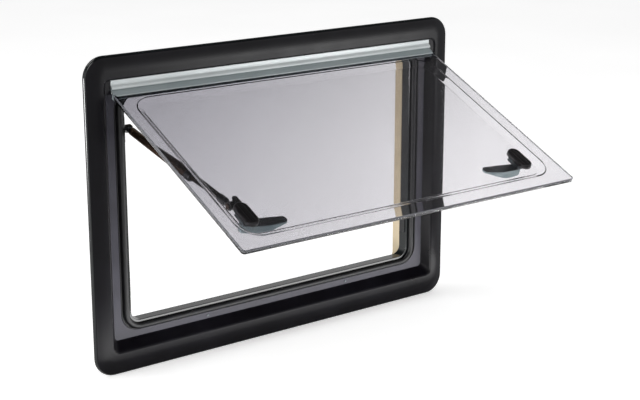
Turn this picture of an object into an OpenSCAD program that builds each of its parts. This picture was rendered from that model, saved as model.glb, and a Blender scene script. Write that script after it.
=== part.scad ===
// Top-hung caravan window, standing open on its stay.
// X runs along the wall, Y into the wall, Z up. The origin lies on the flange's back face, in the
// middle of its bottom run. The modules draw about the window's middle, and on_wall lifts them there.

/* [Wall opening] */
// Width of the cut-out in the wall
cutout_w = 500; // [400:5:900]
// Height of the cut-out in the wall
cutout_h = 350; // [320:5:600]
// Thickness of the wall between flange and inner frame
wall_t = 23.5; // [23:0.5:28]

/* [Outer frame] */
// Overlap of the flange on the wall
overlap = 17; // [14:0.5:19]
// Corner radius of the flange
corner_r = 25; // [23:0.5:32]
// Height of the flange's crest above the wall
crest_h = 8; // [6.5:0.5:10]
// Height of the flange at its rolled edge
edge_h = 5; // [4:0.5:6]
// Radius of the rolled edge
roll_r = 3.5; // [2:0.25:3.75]
// Width of the flange's crowned part
crown_w = 20; // [14:0.5:21]
// Flange width at the sides, to the lip of the recess
lip_side = 23; // [21:0.5:26]
// Flange width at the top and bottom, to the lip of the recess
lip_end = 28; // [26:0.5:30]
// Corner radius of the lip
lip_r = 7; // [5:0.5:10]
// Bevel along the lip
lip_bevel = 1.2; // [0.6:0.1:1.8]
// Slope of the recess's side walls, as a run
run_side = 7.5; // [5:0.5:9]
// Slope of the recess's draining bottom wall, as a run
run_bottom = 11; // [8:0.5:12]
// Corner radius at the foot of the recess's walls
foot_r = 5; // [3:0.5:7]
// Depth of the recess's floor behind the wall's outer face
floor_d = 5; // [4:0.5:6]
// Width of the recess's floor below the seal's groove
floor_bottom = 8; // [7:0.5:11]
// Corner radius of the clear opening
sight_r = 12; // [8:0.5:16]
// Depth of the black reveal behind the wall's outer face
reveal_d = 21; // [19:0.5:23]
// Thickness of the reveal's wall
reveal_t = 3.5; // [2.5:0.25:4]
// Thickness of the spigot's wall and of the skin over the back channel
skin_t = 3.5; // [3:0.25:4]
// Gap between the spigot and the cut-out
spigot_gap = 1; // [0.5:0.25:2]
// Number of screws along the top and along the bottom
screws_long = 4; // [3:1:6]
// Number of screws up each side
screws_side = 3; // [2:1:4]
// Diameter of the screws' pilot bores
pilot_d = 3.2; // [2.5:0.1:3.5]
// Outer diameter of the screw bosses
boss_d = 9; // [7:0.5:10]

/* [Seal] */
// Radius of the seal's hollow bulb, outside
bulb_r = 3.5; // [3:0.1:3.7]
// Wall of the seal's bulb
bulb_t = 1.1; // [0.8:0.1:1.4]
// Width of the seal's groove at the sides
groove_side = 11; // [9.5:0.5:12]
// Width of the seal's groove at the top and bottom
groove_end = 7.5; // [7.5:0.5:8]
// Depth of the seal's groove
groove_d = 4.5; // [3.5:0.25:5]

/* [Inner frame] */
// Overlap of the inner frame on the wall's room side
inner_overlap = 4.5; // [3:0.5:6]
// Depth of the inner frame in front of the room side of the wall
inner_h = 12.5; // [10:0.5:16]
// How far the inner frame's sill lies below the outer one's
sill_drop = 8; // [6:0.5:9]
// Corner radius of the inner frame's opening
inner_sight_r = 6; // [4:0.5:10]
// Distance of the outermost screws from the corners' screw lines
screw_end = 45; // [35:1:55]
// Thickness of the inner frame's moulding
inner_skin = 2.5; // [2:0.25:3]

/* [Hinge] */
// Height of the hinge line below the lip of the recess
hinge_drop = 11; // [10:0.5:13]
// Height of the hinge line above the seal's groove
hinge_rise = 5; // [5:0.5:8]
// Distance of the hinge line in front of the wall's outer face
hinge_out = 4; // [3:0.25:4.5]
// Radius of the pane profile's bead
bead_r = 3.6; // [3:0.1:4]
// Running clearance round the bead
bead_gap = 0.3; // [0.2:0.05:0.5]
// Thickness of the rail's socket and flanges
rail_t = 1.6; // [1.2:0.1:1.8]
// How deep the pane profile grips the sheets
grip_h = 5.5; // [5:0.5:12]

/* [Pane] */
// Angle by which the pane stands open
open_angle = 66.5; // [0:0.5:75]
// Thickness of the flat outer sheet
outer_t = 3; // [2.5:0.25:3.5]
// Thickness of the formed inner sheet
inner_t = 2.5; // [2:0.25:3]
// Gap between the pane and the foot of the recess's side walls
pane_gap = 1.5; // [1:0.25:3]
// Gap between the pane and the foot of the recess's bottom wall
pane_bottom_gap = 9; // [7:0.5:10]
// Corner radius of the pane
pane_r = 4; // [2:0.5:8]
// Depth of the inner sheet's formed tray
tray_d = 6; // [5:0.5:8]
// Flat border beside the tray
border_side = 15; // [14:0.5:19]
// Distance from the hinge line to the tray
border_top = 18; // [17:0.5:24]
// Flat border below the tray
border_bottom = 18; // [16:0.5:22]
// Corner radius of the tray
tray_r = 26; // [18:0.5:32]
// Run of the tray's rounded shoulder
shoulder = 9; // [6:0.5:10]

/* [Latches] */
// Distance from the pane's side edge to the latch's pin
latch_in = 39; // [36:0.5:42]
// Distance from the pane's bottom edge to the latch's pin
latch_up = 57; // [55:0.5:62]
// Length of the spacer pad in the cavity
pad_l = 37; // [28:0.5:38]
// Width of the spacer pad
pad_w = 17; // [14:0.5:18]
// Height of the latch post behind the inner sheet
post_h = 7; // [6:0.25:9]
// Width of the latch post
post_w = 10; // [9:0.5:13]
// Reach of the post's two catch teeth from the pin
tooth_reach = 13; // [12:0.25:14]
// Length of the lever's blade from the pin
blade_l = 50; // [40:1:60]
// Width of the lever's blade
blade_w = 12; // [11:0.5:14]
// Thickness of the lever at its pin
blade_t = 10; // [6:0.25:11]
// Thickness of the lever at its tip
tip_t = 2.5; // [2:0.25:4]
// How far the lever's lower edge flares out
flare = 4; // [0:0.5:6]
// Turn of the left lever on its pin, its tip towards the pane's bottom edge
lever_turn_left = 8; // [-15:1:15]
// Turn of the right lever on its pin, its tip towards the pane's bottom edge
lever_turn_right = -6; // [-15:1:15]
// Diameter of the latch's pin
latch_pin_d = 6; // [5:0.25:7]
// Height of the catch plates on the jambs
catch_h = 30; // [24:1:36]

/* [Stay] */
// Distance from the jamb to the stay's middle
stay_in = 9; // [7:0.25:10]
// Distance of the stay's frame pivot behind the wall's outer face
stay_back = 15.5; // [15:0.25:15.75]
// Height of the stay's frame pivot below the hinge line
stay_drop = 53; // [45:1:60]
// Distance of the stay's pane pivot above the latch's pin, along the pane
stay_to_latch = 28; // [27:0.5:36]
// Radius of the stay's tube, outside
tube_r = 4.8; // [4.2:0.1:4.9]
// Thickness of the stay's outer tube
tube_t = 0.9; // [0.7:0.1:1.2]
// Length of the stay's outer tube, as a share of the open stay
tube_share = 0.59; // [0.5:0.01:0.64]
// Radius of the stay's eyes
eye_r = 5; // [4.5:0.1:5.2]
// Width of the stay's eyes
eye_w = 6.4; // [5:0.2:6.6]
// Diameter of the stay's pivot pins
pivot_d = 4; // [3.4:0.1:4.4]

/* [Hidden] */
$fn = 48;
eps = 0.01;
seat = 0.3;
frame_w = cutout_w + 2 * overlap;
frame_h = cutout_h + 2 * overlap;
lip_z = frame_h / 2 - lip_end;
sight = lip_end + hinge_drop + hinge_rise + groove_end + reveal_t;
jamb_x = frame_w / 2 - sight;
spigot_in = overlap + spigot_gap;
channel_y = floor_d + groove_d + skin_t;
channel_in = spigot_in + skin_t;
foot_side = lip_side + run_side;
foot_bottom = lip_end + run_bottom;
sight_bottom = foot_bottom + floor_bottom + groove_end + reveal_t;
inner_face = wall_t + inner_h;
inner_in = overlap - inner_overlap;
inner_r = corner_r - inner_in;
axis_y = -hinge_out;
axis_z = lip_z - hinge_drop;
socket_r = bead_r + bead_gap + rail_t;
sheet_y = 1;
border_y = sheet_y + outer_t;
tray_y = border_y + tray_d;
back_y = tray_y + inner_t;
pane_w = frame_w - 2 * (foot_side + pane_gap);
pane_top = socket_r + 1.5 + rail_t;
pane_bottom = axis_z + frame_h / 2 - foot_bottom - pane_bottom_gap;
latch_x = pane_w / 2 - latch_in;
latch_s = pane_bottom - latch_up;
blade_y = back_y + post_h;
stay_x = -(jamb_x - stay_in);
stay_pane_x = -latch_x;
stay_reach = latch_s - stay_to_latch;
pivot_y = stay_back;
pivot_z = axis_z - stay_drop;
ear_y = back_y + eye_r + 1;
pane_pivot_y = axis_y + ear_y * cos(open_angle) - stay_reach * sin(open_angle);
pane_pivot_z = axis_z - ear_y * sin(open_angle) - stay_reach * cos(open_angle);
stay_flat = norm([pane_pivot_y - pivot_y, pane_pivot_z - pivot_z]);
stay_l = norm([stay_pane_x - stay_x, stay_flat]);
stay_turn = atan2(pane_pivot_z - pivot_z, pane_pivot_y - pivot_y);
stay_skew = atan2(stay_pane_x - stay_x, stay_flat);
tube_l = tube_share * stay_l;
rod_r = tube_r - tube_t - 0.2;
black = "#1c1c1f";
alloy = "#d3dadb";
clear = "#c9ccd2";
slate = "#2f3a40";
beige = "#bda98a";

module on_wall() {
    translate([0, 0, frame_h / 2 - overlap / 2]) children();
}

// Plans and sweeps. A plan is drawn in X and Z, and its insets count from the flange's edge.

module rounded(w, h, r) {
    square([w - 2 * r, h], center = true);
    square([w, h - 2 * r], center = true);
    for (x = [-1, 1], z = [-1, 1])
        translate([x * (w / 2 - r), z * (h / 2 - r)]) circle(r = r);
}

module layer(y0, y1, side, top, bottom, r) {
    translate([0, y1, (bottom - top) / 2])
        rotate([90, 0, 0])
            linear_extrude(height = y1 - y0)
                rounded(frame_w - 2 * side, frame_h - top - bottom, r);
}

module even_layer(y0, y1, inset, r) {
    layer(y0, y1, inset, inset, inset, r);
}

// Carries a profile round a rounded rectangle. The profile's X counts outwards from the
// corner's centre and its Y out of the plan, towards the outside of the caravan.
module sweep(w, h, r) {
    rotate([90, 0, 0])
        for (k = [0:3]) {
            along = k % 2 == 0 ? h : w;
            across = k % 2 == 0 ? w : h;
            rotate([0, 0, 90 * k]) {
                translate([across / 2 - r, 0, 0])
                    rotate([90, 0, 0])
                        linear_extrude(height = along - 2 * r, center = true) children();
                translate([across / 2 - r, along / 2 - r, 0])
                    rotate_extrude(angle = 90) children();
            }
        }
}

// Outer frame

function roll_points(r, edge, base) = [
    for (a = [0:22.5:90]) [r - roll_r + roll_r * cos(a), edge - roll_r + roll_r * sin(a)]
];

function crown_points(r, edge, crest, width) = [
    for (t = [0.2:0.2:1]) [r - roll_r - (width - roll_r) * t, edge + (crest - edge) * sin(90 * t)]
];

module crown_profile(r, edge, crest, width) {
    polygon(concat(
        [[r, 0]],
        roll_points(r, edge, 0),
        crown_points(r, edge, crest, width),
        [[r - width - 0.5, crest], [r - width - 0.5, 0]]
    ));
}

module recess(side, end, bottom, r_top, r_low) {
    hull() {
        layer(-crest_h, -crest_h + eps, side, end, end, r_top, $fn = 32);
        layer(floor_d - eps, floor_d, side + run_side, end, bottom, r_low, $fn = 32);
    }
}

module lip_cut() {
    hull() {
        even_lip(-crest_h - lip_bevel, 2 * lip_bevel);
        even_lip(-crest_h + lip_bevel, 0);
    }
}

module even_lip(y, grow) {
    layer(y, y + eps, lip_side - grow, lip_end - grow, lip_end - grow, lip_r + grow, $fn = 32);
}

function spread(n, span) = [for (i = [0:n - 1]) span * (2 * i / (n - 1) - 1)];

channel_side = (channel_in + sight - reveal_t) / 2;
channel_bottom = (channel_in + sight_bottom - reveal_t) / 2;
screw_x = frame_w / 2 - channel_side;
screw_top = frame_h / 2 - channel_side;
screw_bottom = -frame_h / 2 + channel_bottom;
long_span = screw_x - screw_end;
side_span = screw_top - screw_end;
screw_places = concat(
    [for (x = spread(screws_long, long_span)) [x, screw_top, 90]],
    [for (x = spread(screws_long, long_span)) [x, screw_bottom, 90]],
    [for (s = [-1, 1], z = spread(screws_side, side_span)) [s * screw_x, z, 0]]
);

module at_screws() {
    for (p = screw_places)
        translate([p[0], 0, p[1]]) rotate([0, p[2], 0]) children();
}

module along_y(y0, y1, r) {
    translate([0, y0, 0]) rotate([-90, 0, 0]) cylinder(h = y1 - y0, r = r);
}

module back_channel() {
    difference() {
        even_layer(channel_y, reveal_d + 1, channel_in, 6);
        layer(channel_y - 1, reveal_d + 2, sight - reveal_t, sight - reveal_t, sight_bottom - reveal_t,
            sight_r + reveal_t);
    }
}

module outer_frame() {
    rib_l = sight - reveal_t - channel_in + 4;
    color(black)
        on_wall()
        difference() {
            union() {
                difference() {
                    union() {
                        sweep(frame_w, frame_h, corner_r) crown_profile(corner_r, edge_h, crest_h, crown_w);
                        even_layer(-crest_h, 0, crown_w, corner_r - crown_w);
                        even_layer(-eps, reveal_d, spigot_in, corner_r - spigot_in);
                    }
                    recess(lip_side, lip_end, foot_bottom, lip_r, foot_r);
                    lip_cut();
                    layer(floor_d - 1, floor_d + groove_d, sight - reveal_t - groove_side,
                        sight - reveal_t - groove_end, sight_bottom - reveal_t - groove_end,
                        sight_r + reveal_t + groove_end);
                    back_channel();
                }
                layer(floor_d + 2, reveal_d, sight - reveal_t, sight - reveal_t, sight_bottom - reveal_t,
                    sight_r + reveal_t);
                intersection() {
                    at_screws() {
                        along_y(channel_y - 1, reveal_d, boss_d / 2);
                        translate([-rib_l / 2, channel_y - 1, -1.25]) cube([rib_l, reveal_d - channel_y, 2.5]);
                    }
                    even_layer(0, reveal_d, spigot_in + 1, 4);
                }
            }
            layer(-crest_h, reveal_d + 1, sight, sight, sight_bottom, sight_r);
            at_screws() along_y(channel_y, reveal_d + 1, pilot_d / 2);
        }
}

// Inner frame, clamped to the outer one through the wall

module inner_frame() {
    sleeve = sight - inner_skin - 1;
    sill = sight_bottom - sill_drop;
    shelf_y = reveal_d + 2;
    color(beige)
        on_wall()
        difference() {
            union() {
                difference() {
                    union() {
                        mirror([0, 1, 0])
                            translate([0, -wall_t, 0])
                                sweep(frame_w - 2 * inner_in, frame_h - 2 * inner_in, inner_r)
                                    crown_profile(inner_r, edge_h, inner_h, inner_r - 3);
                        even_layer(wall_t, inner_face, inner_in + inner_r - 3, 3);
                    }
                    even_layer(wall_t - 1, inner_face - inner_skin, corner_r, 4);
                }
                layer(reveal_d + seat, inner_face, sleeve, sleeve, sleeve + sill - sight,
                    inner_sight_r + inner_skin + 1);
                at_screws() along_y(reveal_d + seat, inner_face - inner_skin + eps, boss_d / 2);
            }
            layer(reveal_d - 1, shelf_y + eps, sight, sight, sight_bottom - 1, sight_r);
            layer(shelf_y, inner_face + 1, sight, sight, sill, inner_sight_r);
            at_screws() along_y(reveal_d - 1, inner_face + 1, pilot_d / 2 + 0.5);
            at_screws() along_y(inner_face - 1.2, inner_face + 1, boss_d / 2 - 0.4);
        }
}

module inner_frame_screws() {
    color("silver")
        on_wall() at_screws() {
            along_y(channel_y + 1, inner_face - 0.5, pilot_d / 2 - 0.1);
            along_y(inner_face - 1.2, inner_face + 0.6, boss_d / 2 - 0.9);
        }
}

// Seal and drain plugs

module window_seal() {
    bulb_side = sight - reveal_t - seat - bulb_r;
    bulb_bottom = sight_bottom - reveal_t - seat - bulb_r;
    bulb_corner = sight_r + reveal_t + seat + bulb_r;
    bulb_y = floor_d + seat;
    outer_side = sight - reveal_t - groove_side + seat;
    outer_top = sight - reveal_t - groove_end + seat;
    color("#232326") on_wall() {
        translate([0, 0, (bulb_bottom - bulb_side) / 2])
            sweep(frame_w - 2 * bulb_side, frame_h - bulb_side - bulb_bottom, bulb_corner)
                translate([bulb_corner, -bulb_y])
                    difference() {
                        circle(r = bulb_r);
                        circle(r = bulb_r - bulb_t);
                    }
        difference() {
            layer(floor_d + groove_d - 1.5, floor_d + groove_d, outer_side, outer_top,
                outer_top + sight_bottom - sight, sight_r + reveal_t + groove_end - seat);
            layer(0, reveal_d, sight - reveal_t - seat, sight - reveal_t - seat, sight_bottom - reveal_t - seat,
                sight_r + reveal_t + seat);
        }
    }
}

module drain_plugs() {
    plug_z = -frame_h / 2 + foot_bottom + 4;
    color("#c8d0d2")
        on_wall()
        for (x = [-1, 1])
            translate([x * frame_w / 5, 0, plug_z]) along_y(floor_d - 1.2, floor_d, 1.6);
}

// Hinge: the rail's socket holds the bead of the pane's own profile

module rail_profile() {
    top = hinge_drop - seat;
    face = -(crest_h - hinge_out) + 1.5;
    back = floor_d + hinge_out;
    square_between(back - rail_t, -socket_r + rail_t, back, top);
    square_between(face, top - rail_t, back, top);
    square_between(face, socket_r - 1.2, face + rail_t, top);
    square_between(socket_r - 1, -0.8, back, 0.8);
    difference() {
        circle(r = socket_r);
        circle(r = bead_r + bead_gap);
        polygon([[0, 0], [-20, 1.5], [-20, -20], [6.8, -18.7]]);
    }
}

module square_between(x0, y0, x1, y1) {
    translate([x0, y0]) square([x1 - x0, y1 - y0]);
}

// A profile drawn in Y and Z, run along X
module run_along_x(l) {
    rotate([90, 0, 90]) linear_extrude(height = l, center = true) children();
}

module hinge_rail() {
    color(alloy) on_wall() translate([0, axis_y, axis_z]) run_along_x(pane_w) rail_profile();
}

module rail_end(side) {
    color(black)
        on_wall()
        intersection() {
            recess_solid(seat);
            translate([side > 0 ? pane_w / 2 + seat : -frame_w / 2, -crest_h + 1.5, axis_z - socket_r])
                cube([frame_w / 2 - pane_w / 2 - seat, crest_h + floor_d - 1.5, frame_h]);
        }
}

module recess_solid(gap) {
    recess(lip_side + gap, lip_end + gap, foot_bottom + gap, lip_r - gap, foot_r - gap);
}

module on_pane() {
    on_wall() translate([0, axis_y, axis_z]) rotate([-open_angle, 0, 0]) children();
}

module pane_hinge_profile() {
    web = pane_top - rail_t;
    color(alloy)
        on_pane()
            run_along_x(pane_w) {
                circle(r = bead_r);
                square_between(-rail_t / 2, -web - 0.5, rail_t / 2, 0);
                square_between(sheet_y - seat / 10 - rail_t, -pane_top, back_lip() + rail_t, -web);
                square_between(sheet_y - seat / 10 - rail_t, -pane_top - grip_h, sheet_y - seat / 10, -web);
                square_between(back_lip(), -pane_top - grip_h, back_lip() + rail_t, -web);
            }
}

function back_lip() = border_y + inner_t + seat / 10;

// The double pane: a flat outer sheet and a formed inner one

module sheet(y0, y1) {
    h = pane_bottom - pane_top - seat;
    translate([0, y1, -pane_bottom + h / 2])
        rotate([90, 0, 0]) linear_extrude(height = y1 - y0) rounded(pane_w, h, pane_r);
}

module outer_sheet() {
    color(clear) on_pane() sheet(sheet_y, border_y);
}

// One ring of a rounded rectangle's points at depth y
function ring(w, h, r, y, z, n) = [
    for (k = [0:3], i = [0:n])
        let (a = 90 * k + 90 * i / n)
        let (sx = k == 0 || k == 3 ? 1 : -1)
        let (sz = k < 2 ? 1 : -1)
        [sx * (w / 2 - r) + r * cos(a), y, z + sz * (h / 2 - r) + r * sin(a)]
];

// The shoulder's section, as [inset, depth] from the flat border to the tray's floor
function shoulder_section(run, depth) = concat(
    [[-2 * run / shoulder, -2]],
    [[0, 0]],
    [for (a = [0:18:90]) [run * (0.25 + 0.75 * (1 - cos(a))), depth * (0.3 + 0.7 * sin(a))]]
);

// A closed solid that rises from the border in a rounded shoulder
module tray(w, h, z, r, y, depth) {
    n = 8;
    m = 4 * (n + 1);
    section = shoulder_section(shoulder, depth);
    rings = [for (s = section) ring(w - 2 * s[0], h - 2 * s[0], r - s[0], y + s[1], z, n)];
    points = [for (q = rings) each q];
    last = len(section) - 1;
    faces = concat(
        [[for (i = [m - 1:-1:0]) i]],
        [for (j = [0:last - 1], i = [0:m - 1])
            [j * m + i, j * m + (i + 1) % m, (j + 1) * m + (i + 1) % m, (j + 1) * m + i]],
        [[for (i = [0:m - 1]) last * m + i]]
    );
    polyhedron(points, faces);
}

module inner_sheet() {
    tray_w = pane_w - 2 * border_side;
    tray_h = pane_bottom - border_bottom - border_top;
    tray_z = -border_top - tray_h / 2;
    color(clear)
        on_pane()
            difference() {
                union() {
                    sheet(border_y, border_y + inner_t);
                    tray(tray_w, tray_h, tray_z, tray_r, border_y + inner_t, tray_d);
                }
                tray(tray_w - 2 * inner_t, tray_h - 2 * inner_t, tray_z, tray_r - inner_t, border_y, tray_d);
                for (s = [-1, 1])
                    translate([s * latch_x, 0, -latch_s]) along_y(0, back_y + 1, latch_pin_d / 2 + seat);
            }
}

// Latches, one at each side. A latch is drawn for the left side and mirrored for the right one.

module latch_place(side) {
    on_pane() translate([side * latch_x, 0, -latch_s]) mirror([side > 0 ? 1 : 0, 0, 0]) children();
}

module stadium(l, w) {
    square([w, l - w], center = true);
    for (s = [-1, 1]) translate([0, s * (l - w) / 2]) circle(r = w / 2);
}

module latch_pad(side) {
    bevel = 2.4;
    color(black)
        latch_place(side)
            difference() {
                union() {
                    translate([0, tray_y - seat / 10, 0])
                        rotate([90, 0, 0])
                            linear_extrude(height = tray_d - bevel - seat / 10) stadium(pad_l, pad_w);
                    for (s = [-1, 1])
                        translate([0, border_y + seat / 10, s * (pad_l - pad_w) / 2])
                            rotate([-90, 0, 0]) cylinder(h = bevel + eps, r1 = pad_w / 2 - bevel, r2 = pad_w / 2);
                    rotate([0, 0, 180])
                        linear_extrude(height = pad_l - pad_w, center = true)
                            polygon([
                                [-pad_w / 2 + bevel, -border_y - seat / 10],
                                [pad_w / 2 - bevel, -border_y - seat / 10],
                                [pad_w / 2, -border_y - bevel - seat / 10 - eps],
                                [-pad_w / 2, -border_y - bevel - seat / 10 - eps]
                            ]);
                }
                along_y(tray_y - 2, tray_y + 1, latch_pin_d / 2 + 0.1);
            }
}

module latch_post(side) {
    tooth = 1.5;
    step = (post_h - 2) / 2;
    y = back_y + seat / 10;
    color(slate)
        latch_place(side)
            difference() {
                rotate([90, 0, 90])
                    linear_extrude(height = post_w, center = true)
                        polygon([
                            [y, -6], [blade_y, -7], [blade_y, 5],
                            [blade_y - 0.4, 7], [blade_y - 0.8, tooth_reach - 1], [blade_y - 2, tooth_reach],
                            [blade_y - 2.4, 7], [blade_y - step - 0.4, 7],
                            [blade_y - step - 0.8, tooth_reach - 1], [blade_y - step - 2, tooth_reach],
                            [blade_y - step - 2.4, 7], [y, 6]
                        ]);
                along_y(0, blade_y + 1, latch_pin_d / 2 + 0.1);
            }
}

// One station of the lever: a thin disc at x along it, y behind its flat face and z up the pane
module lever_disc(x, y, z, r) {
    translate([x, blade_y + y, z]) rotate([-90, 0, 0]) cylinder(h = eps, r = r, $fn = 32);
}

module latch_lever(side) {
    tip_r = blade_w / 4;
    tip_x = blade_l - tip_r;
    color(slate)
        latch_place(side)
            rotate([0, side < 0 ? lever_turn_left : lever_turn_right, 0])
                difference() {
                    hull() {
                        lever_disc(0, 0, 0, blade_w / 2);
                        lever_disc(blade_l * 0.42, 0, 0, blade_w / 2);
                        lever_disc(tip_x, 0, 0, tip_r);
                        lever_disc(0, blade_t - eps, -1, blade_w / 2);
                        lever_disc(blade_l * 0.42, blade_t - 1, -flare, blade_w / 2);
                        lever_disc(tip_x, tip_t, -1, tip_r - 0.5);
                    }
                    along_y(0, blade_y + blade_t + 1, latch_pin_d / 2 + 0.1);
                }
}

module latch_pin(side) {
    color("silver")
        latch_place(side) {
            along_y(tray_y - 1.8, blade_y + blade_t + 0.5, latch_pin_d / 2);
            along_y(blade_y + blade_t, blade_y + blade_t + 1.4, latch_pin_d / 2 + 1.6);
        }
}

module catch_plate(side) {
    ledge_y = axis_y + back_y + 0.8;
    ledge_z = axis_z - latch_s;
    color(black)
        on_wall()
        mirror([side > 0 ? 1 : 0, 0, 0])
            translate([-jamb_x, 0, ledge_z - catch_h / 2]) {
                translate([0, ledge_y, 0]) cube([2, reveal_d - ledge_y - 0.5, catch_h]);
                translate([0, ledge_y, 0]) cube([6, 1.7, catch_h]);
            }
}

// The telescopic stay, at the left

module along_x(x0, x1, r) {
    translate([x0, 0, 0]) rotate([0, 90, 0]) cylinder(h = x1 - x0, r = r);
}

module at_frame_pivot() {
    on_wall() translate([stay_x, pivot_y, pivot_z]) children();
}

module at_pane_pivot() {
    on_pane() translate([stay_pane_x, ear_y, -stay_reach]) children();
}

module on_stay() {
    at_frame_pivot() rotate([stay_turn, 0, 0]) rotate([0, 0, -stay_skew]) children();
}

module stay_frame_bracket() {
    plate_t = 2;
    color(black)
        at_frame_pivot()
            difference() {
                union() {
                    translate([-stay_in, -eye_r, -15]) cube([plate_t, 2 * eye_r, 30]);
                    along_x(-stay_in, -eye_w / 2 - seat, eye_r - 0.5);
                }
                along_x(-stay_in + 0.6, 0, pivot_d / 2 + 0.1);
            }
}

module stay_frame_pin() {
    color("silver")
        at_frame_pivot() {
            along_x(-stay_in + 0.8, eye_w / 2 + 1, pivot_d / 2);
            along_x(eye_w / 2 + seat, eye_w / 2 + 1.5, pivot_d / 2 + 1.4);
        }
}

module eye(r) {
    along_x(-eye_w / 2, eye_w / 2, r);
}

module stay_eye() {
    color(black)
        on_stay()
            difference() {
                union() {
                    eye(eye_r);
                    along_y(0, eye_r + 1, eye_w / 2 - 0.3);
                    along_y(eye_r + 0.8, 9, tube_r - 0.3);
                    along_y(8, 22, tube_r - tube_t - seat / 2);
                }
                along_x(-eye_w, eye_w, pivot_d / 2 + 0.15);
            }
}

module stay_tube() {
    color("#2a2a2c")
        on_stay()
            difference() {
                along_y(9.2, 9.2 + tube_l, tube_r);
                along_y(9, 10 + tube_l, tube_r - tube_t);
            }
}

module stay_collar() {
    end = 9.2 + tube_l;
    color(black)
        on_stay()
            difference() {
                along_y(end - 6, end + 5, tube_r + 0.8);
                along_y(end - 7, end + seat, tube_r + 0.1);
                along_y(end - 1, end + 6, rod_r + 0.15);
            }
}

module stay_rod() {
    color("silver")
        on_stay() along_y(tube_l * 0.48, stay_l - eye_r - 6, rod_r);
}

module stay_fork() {
    color(black)
        on_stay()
            difference() {
                union() {
                    translate([0, stay_l, 0]) eye(eye_r);
                    along_y(stay_l - eye_r - 3.1, stay_l, eye_w / 2 - 0.3);
                    along_y(stay_l - 22, stay_l - eye_r - 3, rod_r + 0.9);
                }
                along_y(stay_l - 23, stay_l - eye_r - 5.7, rod_r + 0.1);
                translate([0, stay_l, 0]) along_x(-eye_w, eye_w, pivot_d / 2 + 0.15);
            }
}

ear_t = 3;

module stay_pane_bracket() {
    ear_x = eye_w / 2 + 2 * seat;
    plate_l = 26;
    color(black)
        at_pane_pivot()
            difference() {
                union() {
                    translate([ear_x, back_y - ear_y, -plate_l / 2]) cube([14, 1.8, plate_l]);
                    translate([ear_x, back_y - ear_y, -eye_r]) cube([ear_t, ear_y - back_y, 2 * eye_r]);
                    along_x(ear_x, ear_x + ear_t, eye_r);
                }
                along_x(0, 20, pivot_d / 2 + 0.1);
            }
}

module stay_pane_pin() {
    ear_end = eye_w / 2 + 2 * seat + ear_t;
    color("silver")
        at_pane_pivot() {
            along_x(-eye_w / 2 - 1, ear_end + 1, pivot_d / 2);
            along_x(-eye_w / 2 - 1.5, -eye_w / 2 - seat, pivot_d / 2 + 1.3);
            along_x(ear_end + 0.1, ear_end + 1.4, pivot_d / 2 + 1.3);
        }
}

outer_frame();
inner_frame();
inner_frame_screws();
window_seal();
drain_plugs();
hinge_rail();
rail_end(-1);  // rail_end_left
rail_end(1);  // rail_end_right
pane_hinge_profile();
outer_sheet();
inner_sheet();
latch_pad(-1);  // latch_pad_left
latch_post(-1);  // latch_post_left
latch_lever(-1);  // latch_lever_left
latch_pin(-1);  // latch_pin_left
latch_pad(1);  // latch_pad_right
latch_post(1);  // latch_post_right
latch_lever(1);  // latch_lever_right
latch_pin(1);  // latch_pin_right
catch_plate(-1);  // catch_left
catch_plate(1);  // catch_right
stay_frame_bracket();
stay_frame_pin();
stay_eye();
stay_tube();
stay_collar();
stay_rod();
stay_fork();
stay_pane_bracket();
stay_pane_pin();
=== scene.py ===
import math

import bmesh
import bpy
from mathutils import Matrix, Vector


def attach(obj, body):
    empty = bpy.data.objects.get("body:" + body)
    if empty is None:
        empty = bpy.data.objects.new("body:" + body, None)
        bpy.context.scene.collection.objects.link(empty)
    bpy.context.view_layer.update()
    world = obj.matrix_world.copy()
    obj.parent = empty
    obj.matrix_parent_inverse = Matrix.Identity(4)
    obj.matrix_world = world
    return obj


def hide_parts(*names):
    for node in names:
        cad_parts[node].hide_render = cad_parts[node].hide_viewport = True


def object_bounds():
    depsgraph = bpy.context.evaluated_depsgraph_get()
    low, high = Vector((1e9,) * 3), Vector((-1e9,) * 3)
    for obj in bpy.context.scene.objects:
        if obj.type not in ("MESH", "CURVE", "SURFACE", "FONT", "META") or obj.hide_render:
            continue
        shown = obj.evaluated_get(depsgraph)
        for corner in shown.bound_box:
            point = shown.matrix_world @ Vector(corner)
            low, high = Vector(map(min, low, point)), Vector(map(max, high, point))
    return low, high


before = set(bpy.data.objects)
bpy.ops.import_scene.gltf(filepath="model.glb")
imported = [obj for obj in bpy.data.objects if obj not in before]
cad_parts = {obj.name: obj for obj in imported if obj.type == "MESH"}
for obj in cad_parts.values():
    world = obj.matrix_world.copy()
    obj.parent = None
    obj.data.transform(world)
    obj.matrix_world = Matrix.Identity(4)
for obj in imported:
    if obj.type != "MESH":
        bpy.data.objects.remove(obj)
cadBox = [list(corner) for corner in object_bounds()]
print("frame loaded:", len(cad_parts), "nodes")

# Every piece is drawn in millimetres about the window's middle, as in the CAD source:
# x along the wall, y into the wall, z up. toRow turns that into metres about the row's origin.
toRow = Matrix.Translation((0, 0, 0.1835)) @ Matrix.Scale(0.001, 4)

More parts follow.
